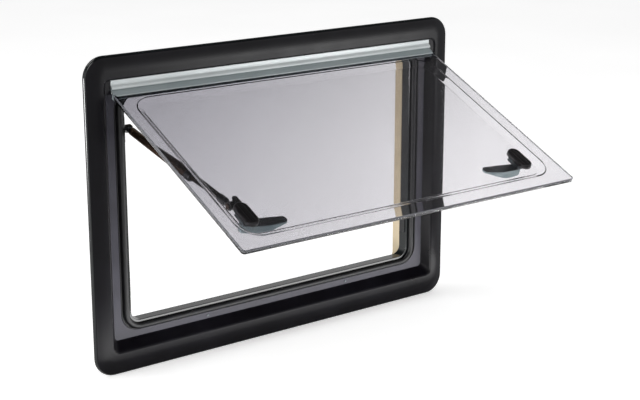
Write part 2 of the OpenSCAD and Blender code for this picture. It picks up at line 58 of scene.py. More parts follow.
window = {
    "width": 534, "height": 384, "cornerRadius": 25,
    "crest": 8, "edge": 5, "crownWidth": 20, "rollRadius": 3.5,
    "lipSide": 23, "lipEnd": 28, "lipRadius": 7, "bevel": 1.2,
    "runSide": 7.5, "runBottom": 11, "footRadius": 5, "floor": 5,
    "sight": 55, "sightBottom": 58, "sightRadius": 12,
    "revealDepth": 21, "revealWall": 3.5,
    "grooveSide": 11, "grooveEnd": 7.5, "grooveFloor": 9.5,
    "channelFloor": 13, "channelInset": 21.5, "spigotInset": 18,
    "wall": 23.5, "innerInset": 14, "innerHeight": 12.5, "innerSkin": 2.5,
    "innerSightBottom": 50, "innerSightRadius": 6, "innerShelf": 23, "innerSleeve": 3.5,
    "innerHollow": 25, "innerHollowRadius": 4,
}
hinge = {"y": -4, "z": 153, "beadRadius": 3.6, "gap": 0.3, "wall": 1.6, "openAngle": 66.5}
pane = {
    "width": 470, "top": 8.9, "bottom": 297, "cornerRadius": 4,
    "outerFront": 1, "outerBack": 4, "innerThick": 2.5, "trayDepth": 6,
    "borderSide": 15, "borderTop": 18, "borderBottom": 18, "trayRadius": 26, "shoulder": 9,
    "drawnThick": 1.2, "runBend": 0.75, "riseBend": 0.2,
}

# The pane's own frame: x along the hinge, y from its outer face inwards, z up from the hinge line
toPane = (toRow @ Matrix.Translation((0, hinge["y"], hinge["z"]))
          @ Matrix.Rotation(math.radians(-hinge["openAngle"]), 4, "X"))


# Materials: each is named for what the real one is and how its surface was made, and for the light or shade
# that is painted into its colour

def toLinear(hexColour):
    parts = [int(hexColour[i:i + 2], 16) / 255 for i in (1, 3, 5)]
    return tuple(p / 12.92 if p <= 0.04045 else ((p + 0.055) / 1.055) ** 2.4 for p in parts) + (1,)


def addNode(tree, kind, values=None, links=None, into=None, stops=(), **settings):
    # links and into take sockets or nodes, and a node stands for its first output
    node = tree.nodes.new(kind)
    for name, value in settings.items():
        setattr(node, name, value)
    for socket, value in (values or {}).items():
        node.inputs[socket].default_value = value
    for socket, source in (links or {}).items():
        tree.links.new(source.outputs[0] if hasattr(source, "outputs") else source, node.inputs[socket])
    for index, (position, colour) in enumerate(stops):
        stop = node.color_ramp.elements[index]
        stop.position, stop.color = position, toLinear(colour)
    if into:
        tree.links.new(node.outputs[0], into)
    return node


def startMaterial(name, **values):
    material = bpy.data.materials.new(name)
    material.use_nodes = True
    tree = material.node_tree
    shader = tree.nodes["Principled BSDF"]
    for socket, value in values.items():
        shader.inputs[socket.replace("_", " ")].default_value = value
    place = addNode(tree, "ShaderNodeTexCoord").outputs["Object"]
    return material, tree, shader, place


# A Noise texture's blobs are about 1 / scale wide, so a size in millimetres gives a scale of 1000 / size.

def mouldedPlastic(name, dark, light, roughness, grainMm, grainDepth, specular=0.5):
    # moulded against a spark-eroded tool: a fine grain, and wide patches where the gloss changes a little
    material, tree, shader, place = startMaterial(name, Specular_IOR_Level=specular)
    patches = addNode(tree, "ShaderNodeTexNoise", {"Scale": 1000 / 45, "Detail": 3}, {"Vector": place})
    grain = addNode(tree, "ShaderNodeTexNoise", {"Scale": 1000 / grainMm}, {"Vector": place})
    addNode(tree, "ShaderNodeValToRGB", links={"Fac": patches}, into=shader.inputs["Base Color"],
            stops=[(0.3, dark), (0.7, light)])
    addNode(tree, "ShaderNodeMapRange", {"From Min": 0.25, "From Max": 0.75, "To Min": roughness - 0.05,
                                         "To Max": roughness + 0.05},
            {"Value": patches}, shader.inputs["Roughness"])
    addNode(tree, "ShaderNodeBump", {"Strength": grainDepth, "Distance": 0.0001}, {"Height": grain},
            shader.inputs["Normal"])
    return material


# self-skinned polyurethane foam: satin black. Its grain is really 0.4 mm and is drawn at 1.4 mm, to show
foamSkin = mouldedPlastic("mouldedPolyurethaneSkin", "#060508", "#0b0a0f", 0.31, 1.4, 0.06, 0.13)
# the recess's floor, where the tool is blasted: a coarser grain. Its lighter violet grey colour is a painted
# sheen
recessSkinPaintedSheen = mouldedPlastic("recessPolyurethaneSkinPaintedSheen", "#2f2e35", "#3a3941", 0.4, 1.1, 0.12, 0.2)
# the reveal and the roll's corner, where the tool is polished: they mirror the pale ground
polishedSkin = mouldedPlastic("polishedPolyurethaneSkin", "#080b0c", "#0f1415", 0.14, 2.2, 0.03)
# injection-moulded ABS, through-coloured: pale brown with a dry satin skin
beigeAbs = mouldedPlastic("mouldedBeigeAbs", "#aa9c80", "#b8aa8f", 0.48, 1.6, 0.1)
# glass-filled nylon: slate, with the cloudy flow marks of its fibres
slateNylon = mouldedPlastic("mouldedSlateNylon", "#22292d", "#2e383d", 0.33, 1.2, 0.1)
# the lever's flared side is the same nylon, polished in the tool. Its paler colour is painted light, for the
# floor's light that it catches
paintedLitNylon = mouldedPlastic("slateNylonPaintedLitSide", "#7b9296", "#a3b4b6", 0.22, 2.5, 0.05)
# moulded pad of hard rubber: a brown black that stays matt
padRubber = mouldedPlastic("mouldedHardRubber", "#151113", "#1f191b", 0.3, 1.3, 0.06)
# black acetal for the stay's ends and the catches: slippery, so it is glossier than the frame
blackAcetal = mouldedPlastic("mouldedBlackAcetal", "#0c0c0e", "#141416", 0.3, 1.5, 0.08, 0.45)
# polyethylene drain plug: dull grey
greyPolyethylene = mouldedPlastic("mouldedGreyPolyethylene", "#3c4245", "#4b5255", 0.35, 1.2, 0.05)


def extrudedRubber(name):
    # EPDM, extruded: dull black with a faint grey bloom and a fine skin
    material, tree, shader, place = startMaterial(name, Specular_IOR_Level=0.35)
    bloom = addNode(tree, "ShaderNodeTexNoise", {"Scale": 1000 / 18, "Detail": 4}, {"Vector": place})
    skin = addNode(tree, "ShaderNodeTexNoise", {"Scale": 1000 / 1.8, "Detail": 1}, {"Vector": place})
    addNode(tree, "ShaderNodeValToRGB", links={"Fac": bloom}, into=shader.inputs["Base Color"],
            stops=[(0.35, "#0a0a0b"), (0.75, "#161619")])
    addNode(tree, "ShaderNodeMapRange", {"From Min": 0.3, "From Max": 0.7, "To Min": 0.4, "To Max": 0.52},
            {"Value": bloom}, shader.inputs["Roughness"])
    addNode(tree, "ShaderNodeBump", {"Strength": 0.1, "Distance": 0.0001}, {"Height": skin},
            shader.inputs["Normal"])
    return material


def drawnMetal(name, dark, light, roughness, along, metallic=1.0, lineMm=0.9):
    # extruded, drawn or turned metal: fine lines in one direction, given by a small scale along it
    material, tree, shader, place = startMaterial(name, Metallic=metallic)
    slant = addNode(tree, "ShaderNodeMapping", {"Scale": along}, {"Vector": place})
    lines = addNode(tree, "ShaderNodeTexNoise", {"Scale": 1000 / lineMm}, {"Vector": slant})
    clouds = addNode(tree, "ShaderNodeTexNoise", {"Scale": 1000 / 60}, {"Vector": place})
    addNode(tree, "ShaderNodeValToRGB", links={"Fac": clouds}, into=shader.inputs["Base Color"],
            stops=[(0.3, dark), (0.7, light)])
    addNode(tree, "ShaderNodeMapRange", {"From Min": 0.3, "From Max": 0.7, "To Min": roughness - 0.06,
                                         "To Max": roughness + 0.06},
            {"Value": lines}, shader.inputs["Roughness"])
    addNode(tree, "ShaderNodeBump", {"Strength": 0.12, "Distance": 0.00005}, {"Height": lines},
            shader.inputs["Normal"])
    return material


epdm = extrudedRubber("extrudedEpdm")
# aluminium, extruded and thickly anodised: the milky layer scatters most of the light, so it stays pale.
# Its die lines are 0.2 mm apart and drawn at 0.9 mm
anodisedAlloy = drawnMetal("anodisedExtrudedAluminium", "#afb5b6", "#bcc1c2", 0.42, (0.01, 1, 1), 0.2)
# the pane's own profile, anodised aluminium: its darker slate grey is painted shade, for the shaded strip
# under the rail
profileAlloyPaintedShade = drawnMetal("anodisedAluminiumPaintedShade", "#8b9597", "#979fa1", 0.42, (0.01, 1, 1), 0.2)
# zinc-plated steel, turned
zincSteel = drawnMetal("zincPlatedTurnedSteel", "#9a9a96", "#b9b8b0", 0.3, (1, 1, 1))
# steel tube in dark brown lacquer; its paler copper patches, which lie at random, are painted glints
lacqueredTubePaintedGlints = drawnMetal("brownLacqueredSteelPaintedGlints", "#1b1614", "#5a4334", 0.24, (1, 0.02, 0.05), 0.7, 3)
# burnished steel rod
burnishedRod = drawnMetal("burnishedDrawnSteel", "#1d1917", "#4a382c", 0.24, (1, 0.02, 0.05), 0.9, 2.5)


def castAcrylic(name, shade, clear, roughness):
    # cast acrylic with a light smoke tint, painted stronger at the hinge and the left and thinning to clear
    # towards the free edge and the right: that fade is a painted reflection
    material, tree, shader, place = startMaterial(name, IOR=1.49, Transmission_Weight=1.0)
    spot = addNode(tree, "ShaderNodeSeparateXYZ", links={"Vector": place}).outputs
    across = addNode(tree, "ShaderNodeMath", {1: 1.4, 2: 0.38}, {0: spot["X"]}, operation="MULTIPLY_ADD")
    total = addNode(tree, "ShaderNodeMath", {1: -1.5}, {0: spot["Y"], 2: across}, operation="MULTIPLY_ADD")
    addNode(tree, "ShaderNodeValToRGB", links={"Fac": total}, into=shader.inputs["Base Color"],
            stops=[(0.0, shade), (0.9, clear)])
    haze = addNode(tree, "ShaderNodeTexNoise", {"Scale": 1000 / 120}, {"Vector": place})
    addNode(tree, "ShaderNodeMapRange", {"From Min": 0.3, "From Max": 0.7, "To Min": roughness,
                                         "To Max": roughness + 0.015},
            {"Value": haze}, shader.inputs["Roughness"])
    return material


clearSheet = castAcrylic("castAcrylicSheetPaintedReflection", "#bfbec4", "#fdfcfe", 0.0)
formedSheet = castAcrylic("vacuumFormedAcrylicPaintedReflection", "#c9c8cd", "#fefdff", 0.01)


def sawnAcrylic(name, dark, light, clearness):
    # the sheet's sawn edge, scraped smooth. Its dull violet grey is painted: it stands for the light caught
    # in the edge
    material, tree, shader, place = startMaterial(name, IOR=1.49, Transmission_Weight=clearness)
    slant = addNode(tree, "ShaderNodeMapping", {"Scale": (0.2, 1, 1)}, {"Vector": place})
    strokes = addNode(tree, "ShaderNodeTexNoise", {"Scale": 1000 / 2.5, "Detail": 3}, {"Vector": slant})
    addNode(tree, "ShaderNodeValToRGB", links={"Fac": strokes}, into=shader.inputs["Base Color"],
            stops=[(0.3, dark), (0.7, light)])
    addNode(tree, "ShaderNodeMapRange", {"From Min": 0.3, "From Max": 0.7, "To Min": 0.1, "To Max": 0.25},
            {"Value": strokes}, shader.inputs["Roughness"])
    addNode(tree, "ShaderNodeBump", {"Strength": 0.1, "Distance": 0.0001}, {"Height": strokes},
            shader.inputs["Normal"])
    return material


# the arrises' darker violet grey is painted shade, the thin dark line along the sheet's edge
sawnEdgePaintedShade = sawnAcrylic("sawnAcrylicEdgePaintedShade", "#5d5e66", "#777880", 0.45)
# between its two arrises, painted darker as shade, the edge is scraped clearer
scrapedEdge = sawnAcrylic("scrapedAcrylicEdge", "#a3a4ac", "#bcbdc4", 0.8)
print("materials made:", len(bpy.data.materials))


# Shapes: lofts of rounded rectangles, profiles run along x, and turned pieces

def roundedLoop(left, right, low, high, radius, y, steps=10):
    loop = []
    for quarter, (cx, cz) in enumerate(((right - radius, high - radius), (left + radius, high - radius),
                                        (left + radius, low + radius), (right - radius, low + radius))):
        for step in range(steps + 1):
            angle = math.radians(90 * (quarter + step / steps))
            loop.append((cx + radius * math.cos(angle), y, cz + radius * math.sin(angle)))
    return loop


def frameLoop(station):
    # a station is the inset at the sides, the top and the bottom, the corner's radius, and the depth
    side, top, bottom, radius, y = station
    halfWidth, halfHeight = window["width"] / 2, window["height"] / 2
    return roundedLoop(side - halfWidth, halfWidth - side, bottom - halfHeight, halfHeight - top,
                       max(radius, 0.4), y)


def softened(stations, bends=4):
    # replaces each station that has a softening length by a short curve
    out = []
    count = len(stations)
    for index, (values, soft) in enumerate(stations):
        here = Vector(values)
        if not soft:
            out.append(values)
            continue
        before, after = Vector(stations[index - 1][0]), Vector(stations[(index + 1) % count][0])
        start = here + (before - here) * min(0.45, soft / max((before - here).length, 1e-6))
        end = here + (after - here) * min(0.45, soft / max((after - here).length, 1e-6))
        for bend in range(bends + 1):
            t = bend / bends
            out.append(tuple(start * (1 - t) ** 2 + here * (2 * t * (1 - t)) + end * t * t))
    return out


def loft(name, loops, closed=False, capped=False, strips=None):
    # strips gives a material's index for each strip of faces between two loops
    count, size = len(loops), len(loops[0])
    verts = [point for loop in loops for point in loop]
    faces, indices = [], []
    for j in range(count if closed else count - 1):
        a, b = j * size, (j + 1) % count * size
        for i in range(size):
            faces.append((a + i, a + (i + 1) % size, b + (i + 1) % size, b + i))
            indices.append(strips[j] if strips else 0)
    if capped:
        faces += [tuple(range(size)), tuple(range((count - 1) * size, count * size))]
        indices += [0, 0]
    mesh = bpy.data.meshes.new(name)
    mesh.from_pydata(verts, [], faces)
    mesh.polygons.foreach_set("material_index", indices)
    return mesh


def runAlongX(name, outline, x0, x1, slant=None):
    # slant moves the ends' points along x by a function of the outline's point
    ends = [[(x + (slant(y, z) * way if slant else 0), y, z) for y, z in outline]
            for x, way in ((x0, 1), (x1, -1))]
    return loft(name, ends, capped=True)


def turned(name, profile, axis="Y", steps=36):
    # a profile of (distance along the axis, radius), from end to end
    loops = []
    for along, radius in profile:
        ring = []
        for step in range(steps):
            angle = 2 * math.pi * step / steps
            u, v = radius * math.cos(angle), radius * math.sin(angle)
            ring.append((along, u, v) if axis == "X" else (u, along, v))
        loops.append(ring)
    return loft(name, loops, capped=True)


def arc(cx, cy, radius, start, end, steps):
    return [(cx + radius * math.cos(math.radians(start + (end - start) * i / steps)),
             cy + radius * math.sin(math.radians(start + (end - start) * i / steps)))
            for i in range(steps + 1)]


def joined(name, meshes):
    total = bmesh.new()
    for mesh in meshes:
        total.from_mesh(mesh)
    result = bpy.data.meshes.new(name)
    total.to_mesh(result)
    total.free()
    return result


def addObject(name, data):
    thing = bpy.data.objects.new(name, data)
    bpy.context.scene.collection.objects.link(thing)
    return thing


def faceOutwards(mesh):
    # merges doubled points, then turns every face outwards
    shell = bmesh.new()
    shell.from_mesh(mesh)
    bmesh.ops.remove_doubles(shell, verts=shell.verts, dist=1e-7)
    bmesh.ops.recalc_face_normals(shell, faces=shell.faces)
    shell.to_mesh(mesh)
    shell.free()
    return mesh


def dressNode(node, material):
    # a CAD node that is shown as it is
    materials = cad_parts[node].data.materials
    materials.clear()
    materials.append(material)


def addPiece(name, mesh, place, materials, nodes, softEdge=0):
    mesh.transform(place)
    faceOutwards(mesh)
    piece = addObject(name, mesh)
    for material in materials:
        mesh.materials.append(material)
    mesh.shade_smooth()
    if softEdge:
        bevel = piece.modifiers.new("softEdges", "BEVEL")
        bevel.width, bevel.segments = softEdge / 1000, 3
        bevel.limit_method, bevel.angle_limit = "ANGLE", math.radians(34)
    piece.modifiers.new("evenShading", "WEIGHTED_NORMAL").keep_sharp = True
    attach(piece, "root")
    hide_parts(*nodes)


def plainMesh(piece):
    # turns what the modifiers make into a plain mesh
    result = bpy.data.meshes.new_from_object(piece.evaluated_get(bpy.context.evaluated_depsgraph_get()))
    bpy.data.objects.remove(piece)
    return result


def startTree(name, sizes):
    tree = bpy.data.node_groups.new(name, "GeometryNodeTree")
    tree.interface.new_socket("Geometry", in_out="INPUT", socket_type="NodeSocketGeometry")
    tree.interface.new_socket("Geometry", in_out="OUTPUT", socket_type="NodeSocketGeometry")
    for label, kind, value in sizes:
        socket = tree.interface.new_socket(label, in_out="INPUT", socket_type=kind)
        if value is not None:
            socket.default_value = value
    return tree, addNode(tree, "NodeGroupInput").outputs, addNode(tree, "NodeGroupOutput")


def runTree(name, mesh, tree, values):
    piece = addObject(name, mesh)
    modifier = piece.modifiers.new(tree.name, "NODES")
    modifier.node_group = tree
    for item in tree.interface.items_tree:
        if item.item_type == "SOCKET" and item.in_out == "INPUT" and item.name in values:
            modifier[item.identifier] = values[item.name]
    return plainMesh(piece)


# Outer frame: one loft of its section, which differs at the sides, the top and the bottom

def crownRows(inset, radius, edge, crest, width, y, way, steps=12):
    # the rolled edge and the crown, from edge to crest; y is the wall's face and way its outward sense
    roll = window["rollRadius"]
    rows = []
    for turn in range(0, 91, 15):
        run = roll * (1 - math.cos(math.radians(turn)))
        rise = edge - roll + roll * math.sin(math.radians(turn))
        rows.append((inset + run, radius - run, y + way * rise))
    for step in range(1, steps + 1):
        run = roll + (width - roll) * step / steps
        rise = edge + (crest - edge) * math.sin(math.radians(90 * step / steps))
        rows.append((inset + run, radius - run, y + way * rise))
    return [((i, i, i, r, depth), 0) for i, r, depth in rows]


def outerFrame():
    w = window
    crest = -w["crest"]
    wall, reveal = w["revealWall"], w["revealDepth"]
    sight = (w["sight"], w["sight"], w["sightBottom"], w["sightRadius"])
    behind = (sight[0] - wall, sight[1] - wall, sight[2] - wall, sight[3] + wall)
    groove = (behind[0] - w["grooveSide"], behind[1] - w["grooveEnd"], behind[2] - w["grooveEnd"],
              behind[3] + w["grooveEnd"])
    lip = w["bevel"]
    channel, spigot = (w["channelInset"],) * 3 + (6,), (w["spigotInset"],) * 3 + (7,)
    stations = [((0, 0, 0, w["cornerRadius"], 0), 0)]
    stations += crownRows(0, w["cornerRadius"], w["edge"], w["crest"], w["crownWidth"], 0, -1)
    stations += [
        ((w["lipSide"] - lip, w["lipEnd"] - lip, w["lipEnd"] - lip, w["lipRadius"] + lip, crest), 1.0),
        ((w["lipSide"] + 0.7, w["lipEnd"], w["lipEnd"] + 1, w["lipRadius"], crest + lip), 0.9),
        ((w["lipSide"] + w["runSide"], w["lipEnd"], w["lipEnd"] + w["runBottom"], w["footRadius"],
          w["floor"]), 1.3),
        ((*groove, w["floor"]), 0.7), ((*groove, w["grooveFloor"]), 0.3),
        ((*behind, w["grooveFloor"]), 0.3), ((*behind, w["floor"] + 2), 1.0),
        ((*sight, w["floor"] + 2), 1.0), ((*sight, reveal), 0.4),
        ((*behind, reveal), 0.2), ((*behind, w["channelFloor"]), 0.3),
        ((*channel, w["channelFloor"]), 0.3), ((*channel, reveal), 0.2),
        ((*spigot, reveal), 0.5), ((*spigot, 0), 0.3),
    ]
    rows = softened(stations)
    # strip 1, the recess's floor, takes the skin whose violet grey is a painted sheen
    recess = [w["lipSide"] + w["runSide"] - 0.2 < row[0] <= groove[0] + 0.5 and row[4] < w["floor"] + 0.5
              for row in rows]
    polished = [row[0] > behind[0] + 0.4 and row[4] < reveal - 0.1 for row in rows]
    strips = [1 if recess[i] and recess[i + 1] else 2 if polished[i] and polished[i + 1] else 0
              for i in range(len(rows) - 1)] + [0]
    # the roll's corner catches a thin line of light
    strips[2:5] = [2, 2, 2]
    return loft("outerFrame", [frameLoop(s) for s in rows], closed=True, strips=strips)


addPiece("outerFrameMoulding", outerFrame(), toRow, [foamSkin, recessSkinPaintedSheen, polishedSkin], ["outer_frame"])
print("outer frame lofted")


# Inner frame, on the room side, with its screws

def innerFrame():
    w = window
    sight = (w["sight"], w["sight"], w["innerSightBottom"], w["innerSightRadius"])
    shelf = (w["sight"], w["sight"], w["sightBottom"] - 1, w["sightRadius"])
    sleeve = tuple(v - w["innerSleeve"] for v in sight[:3]) + (sight[3] + w["innerSleeve"],)
    hollow = (w["innerHollow"],) * 3 + (w["innerHollowRadius"],)
    front, face, inset = w["revealDepth"] + 0.3, w["wall"] + w["innerHeight"], w["innerInset"]
    radius = w["cornerRadius"] - inset
    stations = [((inset, inset, inset, radius, w["wall"]), 0)]
    stations += crownRows(inset, radius, w["edge"], w["innerHeight"], radius - 3, w["wall"], 1)
    stations += [
        ((*sight, face), 2.0), ((*sight, w["innerShelf"]), 0.3), ((*shelf, w["innerShelf"]), 0.3),
        ((*shelf, front), 0.3), ((*sleeve, front), 0.3), ((*sleeve, face - w["innerSkin"]), 0.4),
        ((*hollow, face - w["innerSkin"]), 0.4), ((*hollow, w["wall"]), 0.3),
    ]
    return loft("innerFrame", [frameLoop(s) for s in softened(stations)], closed=True)


addPiece("innerFrameMoulding", innerFrame(), toRow, [beigeAbs], ["inner_frame"])

screw = {"headRadius": 3.6, "headHeight": 1.8, "shankRadius": 1.5, "shankLength": 21,
         "sunk": 1.2, "endGap": 45, "slotWidth": 1.0, "slotLength": 4.4, "slotDepth": 1.1, "seed": 4}


def screwPlaces():
    # as in the CAD source: rows in the middle of the back channel, four above and below and three each side
    w = window
    inset = (w["channelInset"] + w["sight"] - w["revealWall"]) / 2
    insetLow = (w["channelInset"] + w["sightBottom"] - w["revealWall"]) / 2
    x, top, low = w["width"] / 2 - inset, w["height"] / 2 - inset, insetLow - w["height"] / 2
    long, short = x - screw["endGap"], top - screw["endGap"]
    places = [(long * (2 * i / 3 - 1), z) for z in (top, low) for i in range(4)]
    return places + [(s * x, short * (i - 1)) for s in (-1, 1) for i in range(3)]


def crossHeadScrew():
    # a pan head with a cross-shaped recess, cut as a real hollow
    s = screw
    r, h = s["headRadius"], s["headHeight"]
    head = turned("screw", [(-s["shankLength"], s["shankRadius"]), (-0.2, s["shankRadius"]),
                            (-0.2, r), (h * 0.35, r), (h * 0.75, r * 0.88), (h, r * 0.6)], steps=24)
    base = addObject("screwHead", head)
    cutters = []
    for turn in (0, 90):
        half, width = s["slotLength"] / 2, s["slotWidth"] / 2
        bar = loft("bar", [[(x, y, z) for x, z in ((-half, -width), (half, -width), (half, width),
                                                   (-half, width))]
                           for y in (h - s["slotDepth"], h + 1)], capped=True)
        bar.transform(Matrix.Rotation(math.radians(turn), 4, "Y"))
        cutter = addObject("screwSlot", faceOutwards(bar))
        cut = base.modifiers.new("slot", "BOOLEAN")
        cut.operation, cut.object, cut.solver = "DIFFERENCE", cutter, "EXACT"
        cutters.append(cutter)
    faceOutwards(head)
    result = plainMesh(base)
    for cutter in cutters:
        bpy.data.objects.remove(cutter)
    return result


def screwTree():
    tree, sizes, out = startTree("screwsRoundFrame", [
        ("Screw", "NodeSocketObject", None), ("Seed", "NodeSocketInt", 0),
        ("Material", "NodeSocketMaterial", None)])
    head = addNode(tree, "GeometryNodeObjectInfo", {"As Instance": True}, {"Object": sizes["Screw"]})
    turn = addNode(tree, "FunctionNodeRandomValue", {"Min": (0, 0, 0), "Max": (0, 3.14, 0)},
                   {"Seed": sizes["Seed"]}, data_type="FLOAT_VECTOR")
    placed = addNode(tree, "GeometryNodeInstanceOnPoints", links={
        "Points": sizes["Geometry"], "Instance": head.outputs["Geometry"], "Rotation": turn.outputs["Value"]})
    solid = addNode(tree, "GeometryNodeRealizeInstances", links={"Geometry": placed.outputs["Instances"]})
    dressed = addNode(tree, "GeometryNodeSetMaterial",
                      links={"Geometry": solid.outputs["Geometry"], "Material": sizes["Material"]})
    tree.links.new(dressed.outputs["Geometry"], out.inputs["Geometry"])
    return tree


screwHead = addObject("screwModel", crossHeadScrew())
points = bpy.data.meshes.new("screwPoints")
screwSeat = window["wall"] + window["innerHeight"] - screw["sunk"]
points.from_pydata([(x, screwSeat, z) for x, z in screwPlaces()], [], [])
screws = runTree("innerFrameScrews", points, screwTree(),
                 {"Screw": screwHead, "Seed": screw["seed"], "Material": zincSteel})
bpy.data.objects.remove(screwHead)
screws.materials.clear()
addPiece("innerFrameScrews", screws, toRow, [zincSteel], ["inner_frame_screws"])
print("inner frame and screws made")


# Seal: a foot with a thin lip, and a bulb that Geometry Nodes sweep round the opening

seal = {"bulbRadius": 3.5, "bulbDepth": 5.3, "clear": 0.3, "footThick": 1.5, "lipHeight": 3.2,
        "lipThick": 0.9, "cornerSteps": 12}


def sealTree():
    tree, sizes, out = startTree("sealBulbSweep", [
        ("Width", "NodeSocketFloat", 1), ("Height", "NodeSocketFloat", 1), ("Corner", "NodeSocketFloat", 1),
        ("Middle", "NodeSocketVector", None), ("Bulb radius", "NodeSocketFloat", 1),
        ("Corner steps", "NodeSocketInt", 8), ("Material", "NodeSocketMaterial", None)])
    path = addNode(tree, "GeometryNodeCurvePrimitiveQuadrilateral",
                   links={"Width": sizes["Width"], "Height": sizes["Height"]})
    rounded = addNode(tree, "GeometryNodeFilletCurve", {"Limit Radius": True},
                      {"Curve": path.outputs["Curve"], "Count": sizes["Corner steps"],
                       "Radius": sizes["Corner"]}, mode="POLY")
    upright = addNode(tree, "GeometryNodeTransform", {"Rotation": (math.radians(90), 0, 0)}, {
        "Geometry": rounded.outputs["Curve"], "Translation": sizes["Middle"]})
    ring = addNode(tree, "GeometryNodeCurvePrimitiveCircle", {"Resolution": 20},
                   {"Radius": sizes["Bulb radius"]})
    swept = addNode(tree, "GeometryNodeCurveToMesh", links={
        "Curve": upright.outputs["Geometry"], "Profile Curve": ring.outputs["Curve"]})
    both = addNode(tree, "GeometryNodeJoinGeometry", links={"Geometry": swept.outputs["Mesh"]})
    tree.links.new(sizes["Geometry"], both.inputs["Geometry"])
    solid = addNode(tree, "GeometryNodeRealizeInstances", links={"Geometry": both.outputs["Geometry"]})
    dressed = addNode(tree, "GeometryNodeSetMaterial",
                      links={"Geometry": solid.outputs["Geometry"], "Material": sizes["Material"]})
    tree.links.new(dressed.outputs["Geometry"], out.inputs["Geometry"])
    return tree


def sealFoot():
    w, s = window, seal
    wall = w["revealWall"] + s["clear"]
    inner = (w["sight"] - wall, w["sight"] - wall, w["sightBottom"] - wall, w["sightRadius"] + wall)
    outer = (w["sight"] - w["revealWall"] - w["grooveSide"] + s["clear"],
             w["sight"] - w["revealWall"] - w["grooveEnd"] + s["clear"],
             w["sightBottom"] - w["revealWall"] - w["grooveEnd"] + s["clear"],
             w["sightRadius"] + w["revealWall"] + w["grooveEnd"] - s["clear"])
    deep, top = w["grooveFloor"], w["grooveFloor"] - s["footThick"]
    lip = s["lipThick"]
    lipInner = tuple(v + lip for v in outer[:3]) + (outer[3] - lip,)
    stations = [((*outer, deep), 0.2), ((*outer, top - s["lipHeight"]), 0.4),
                ((*lipInner, top - s["lipHeight"]), 0.4), ((*lipInner, top), 0.5),
                ((*inner, top), 0.3), ((*inner, deep), 0.2)]
    return loft("sealFoot", [frameLoop(st) for st in softened(stations)], closed=True)


bulbInset = window["sight"] - window["revealWall"] - seal["clear"] - seal["bulbRadius"]
bulbInsetLow = bulbInset + window["sightBottom"] - window["sight"]
sealMesh = runTree("windowSeal", sealFoot(), sealTree(), {
    "Width": window["width"] - 2 * bulbInset, "Height": window["height"] - bulbInset - bulbInsetLow,
    "Corner": window["sightRadius"] + window["revealWall"] + seal["clear"] + seal["bulbRadius"],
    "Middle": (0, seal["bulbDepth"], (bulbInsetLow - bulbInset) / 2), "Bulb radius": seal["bulbRadius"],
    "Corner steps": seal["cornerSteps"], "Material": epdm})
sealMesh.materials.clear()
addPiece("windowSeal", sealMesh, toRow, [epdm], ["window_seal"])

plug = {"radius": 1.6, "height": 0.9, "aboveSlope": 4}
plugMeshes = []
for way in (-1, 1):
    dome = turned("plug", [(0.1, plug["radius"]), (-0.4, plug["radius"]), (-0.8, plug["radius"] * 0.8),
                           (-plug["height"], plug["radius"] * 0.3)], steps=24)
    dome.transform(Matrix.Translation((way * window["width"] / 5, window["floor"],
                                       -window["height"] / 2 + window["lipEnd"] + window["runBottom"]
                                       + plug["aboveSlope"])))
    plugMeshes.append(dome)
addPiece("drainPlugs", joined("drainPlugs", plugMeshes), toRow, [greyPolyethylene], ["drain_plugs"])
print("seal and drain plugs made")


# Hinge: the rail's socket, the black end blocks and the pane's own profile

toHinge = toRow @ Matrix.Translation((0, hinge["y"], hinge["z"]))


def railOutline():
    outer = hinge["beadRadius"] + hinge["gap"] + hinge["wall"]
    inner = hinge["beadRadius"] + hinge["gap"]
    return ([(-2.5, 5.3), (-2.3, 5.5), (-2.3, 5.9), (-2.5, 6.1), (-2.5, 10.3), (-2.1, 10.7), (8.6, 10.7),
             (9, 10.3), (9, -3.6), (8.7, -3.9), (7.7, -3.9), (7.4, -3.6), (7.4, -0.8)]
            + arc(0, 0, outer, -8.4, -70, 14) + arc(0, 0, inner, -70, 175.7, 40)
            + arc(0, 0, outer, 175.7, 117, 12))


def paneProfileOutline():
    front, back = pane["outerFront"] - 0.03, pane["outerBack"] + pane["innerThick"] + 0.03
    wall, low = hinge["wall"], -pane["top"] - 5.5 + 0.02
    bead = arc(0, 0, hinge["beadRadius"], 257.2, -77.2, 40)
    return (bead + [(0.8, -7.0), (back + wall - 0.5, -7.0), (back + wall, -7.5), (back + wall, low + 0.4),
                    (back + wall - 0.4, low), (back, low), (back, -8.6), (front, -8.6), (front, low),
                    (front - wall + 0.5, low), (front - wall, low + 0.9), (front - wall, -7.5),
                    (front - wall + 0.4, -7.0), (-0.8, -7.0)])


halfPane = pane["width"] / 2
addPiece("hingeRail", runAlongX("hingeRail", railOutline(), -halfPane, halfPane), toHinge, [anodisedAlloy],
         ["hinge_rail"])
addPiece("paneHingeProfile",
         runAlongX("paneProfile", paneProfileOutline(), -halfPane, halfPane,
                   lambda y, z: max(0, -z - 8) * 0.35),
         toPane, [profileAlloyPaintedShade], ["pane_hinge_profile"])
dressNode("rail_end_left", foamSkin)
dressNode("rail_end_right", foamSkin)
print("hinge made")


# Pane: a flat outer sheet and a vacuum-formed inner one

def paneLoop(inset, y, radius):
    return roundedLoop(inset - halfPane, halfPane - inset, inset - pane["bottom"], -pane["top"] - inset,
                       radius, y, 8)


def outerSheet():
    p, soft = pane, 0.45
    rows = [(soft, p["outerFront"]), (0.12, p["outerFront"] + 0.12), (0, p["outerFront"] + soft),
            (0, p["outerBack"] - soft), (0.12, p["outerBack"] - 0.12), (soft, p["outerBack"])]
    # the rounded arrises take the edge painted dark as shade, and the flat between them the scraped edge
    return loft("outerSheet", [paneLoop(i, y, p["cornerRadius"] - i) for i, y in rows], capped=True,
                strips=[1, 1, 2, 1, 1])


